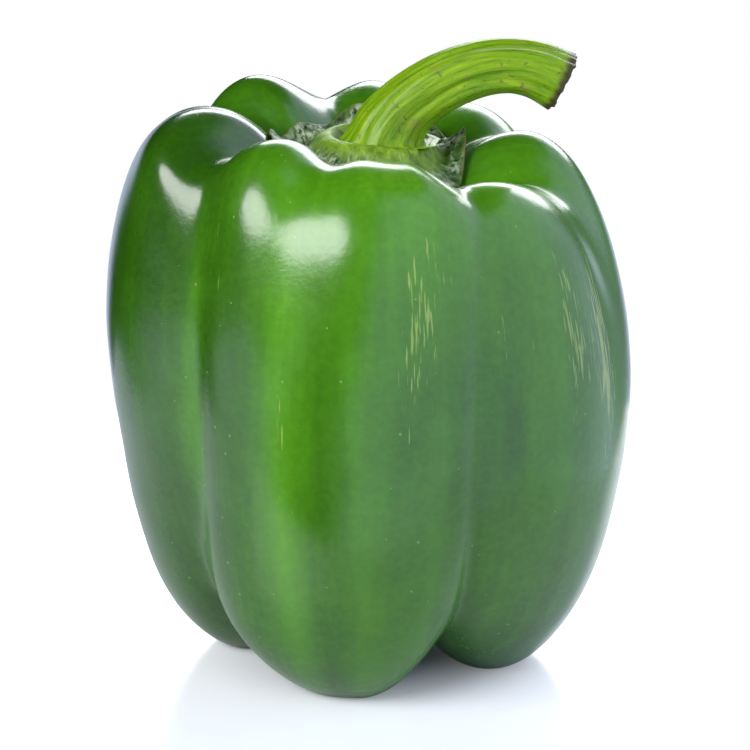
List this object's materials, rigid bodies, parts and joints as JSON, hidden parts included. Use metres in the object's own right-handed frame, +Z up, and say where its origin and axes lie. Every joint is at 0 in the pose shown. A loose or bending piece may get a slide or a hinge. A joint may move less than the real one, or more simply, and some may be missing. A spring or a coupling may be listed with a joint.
{
  "type": "bell pepper",
  "caption": "Whole green bell pepper: a lobed, glossy fruit with a sunken crown, a small calyx and a curved, cut stem, standing on the ends of its lobes.",
  "frame": {"origin": "on the surface that the pepper stands on, under the middle of its box", "axes": "+Z up, from the feet to the stem; -Y the front, the lobe that faces the viewer; +X the side that the stem leans to"},
  "size_m": [0.0879, 0.0851, 0.1063],
  "materials": {
    "fruit_skin": null,
    "calyx": null,
    "stem": null
  },
  "bodies": {
    "root": {"fruit": "fruit_skin", "calyx": "calyx", "stem": "stem"}
  },
  "joints": []
}
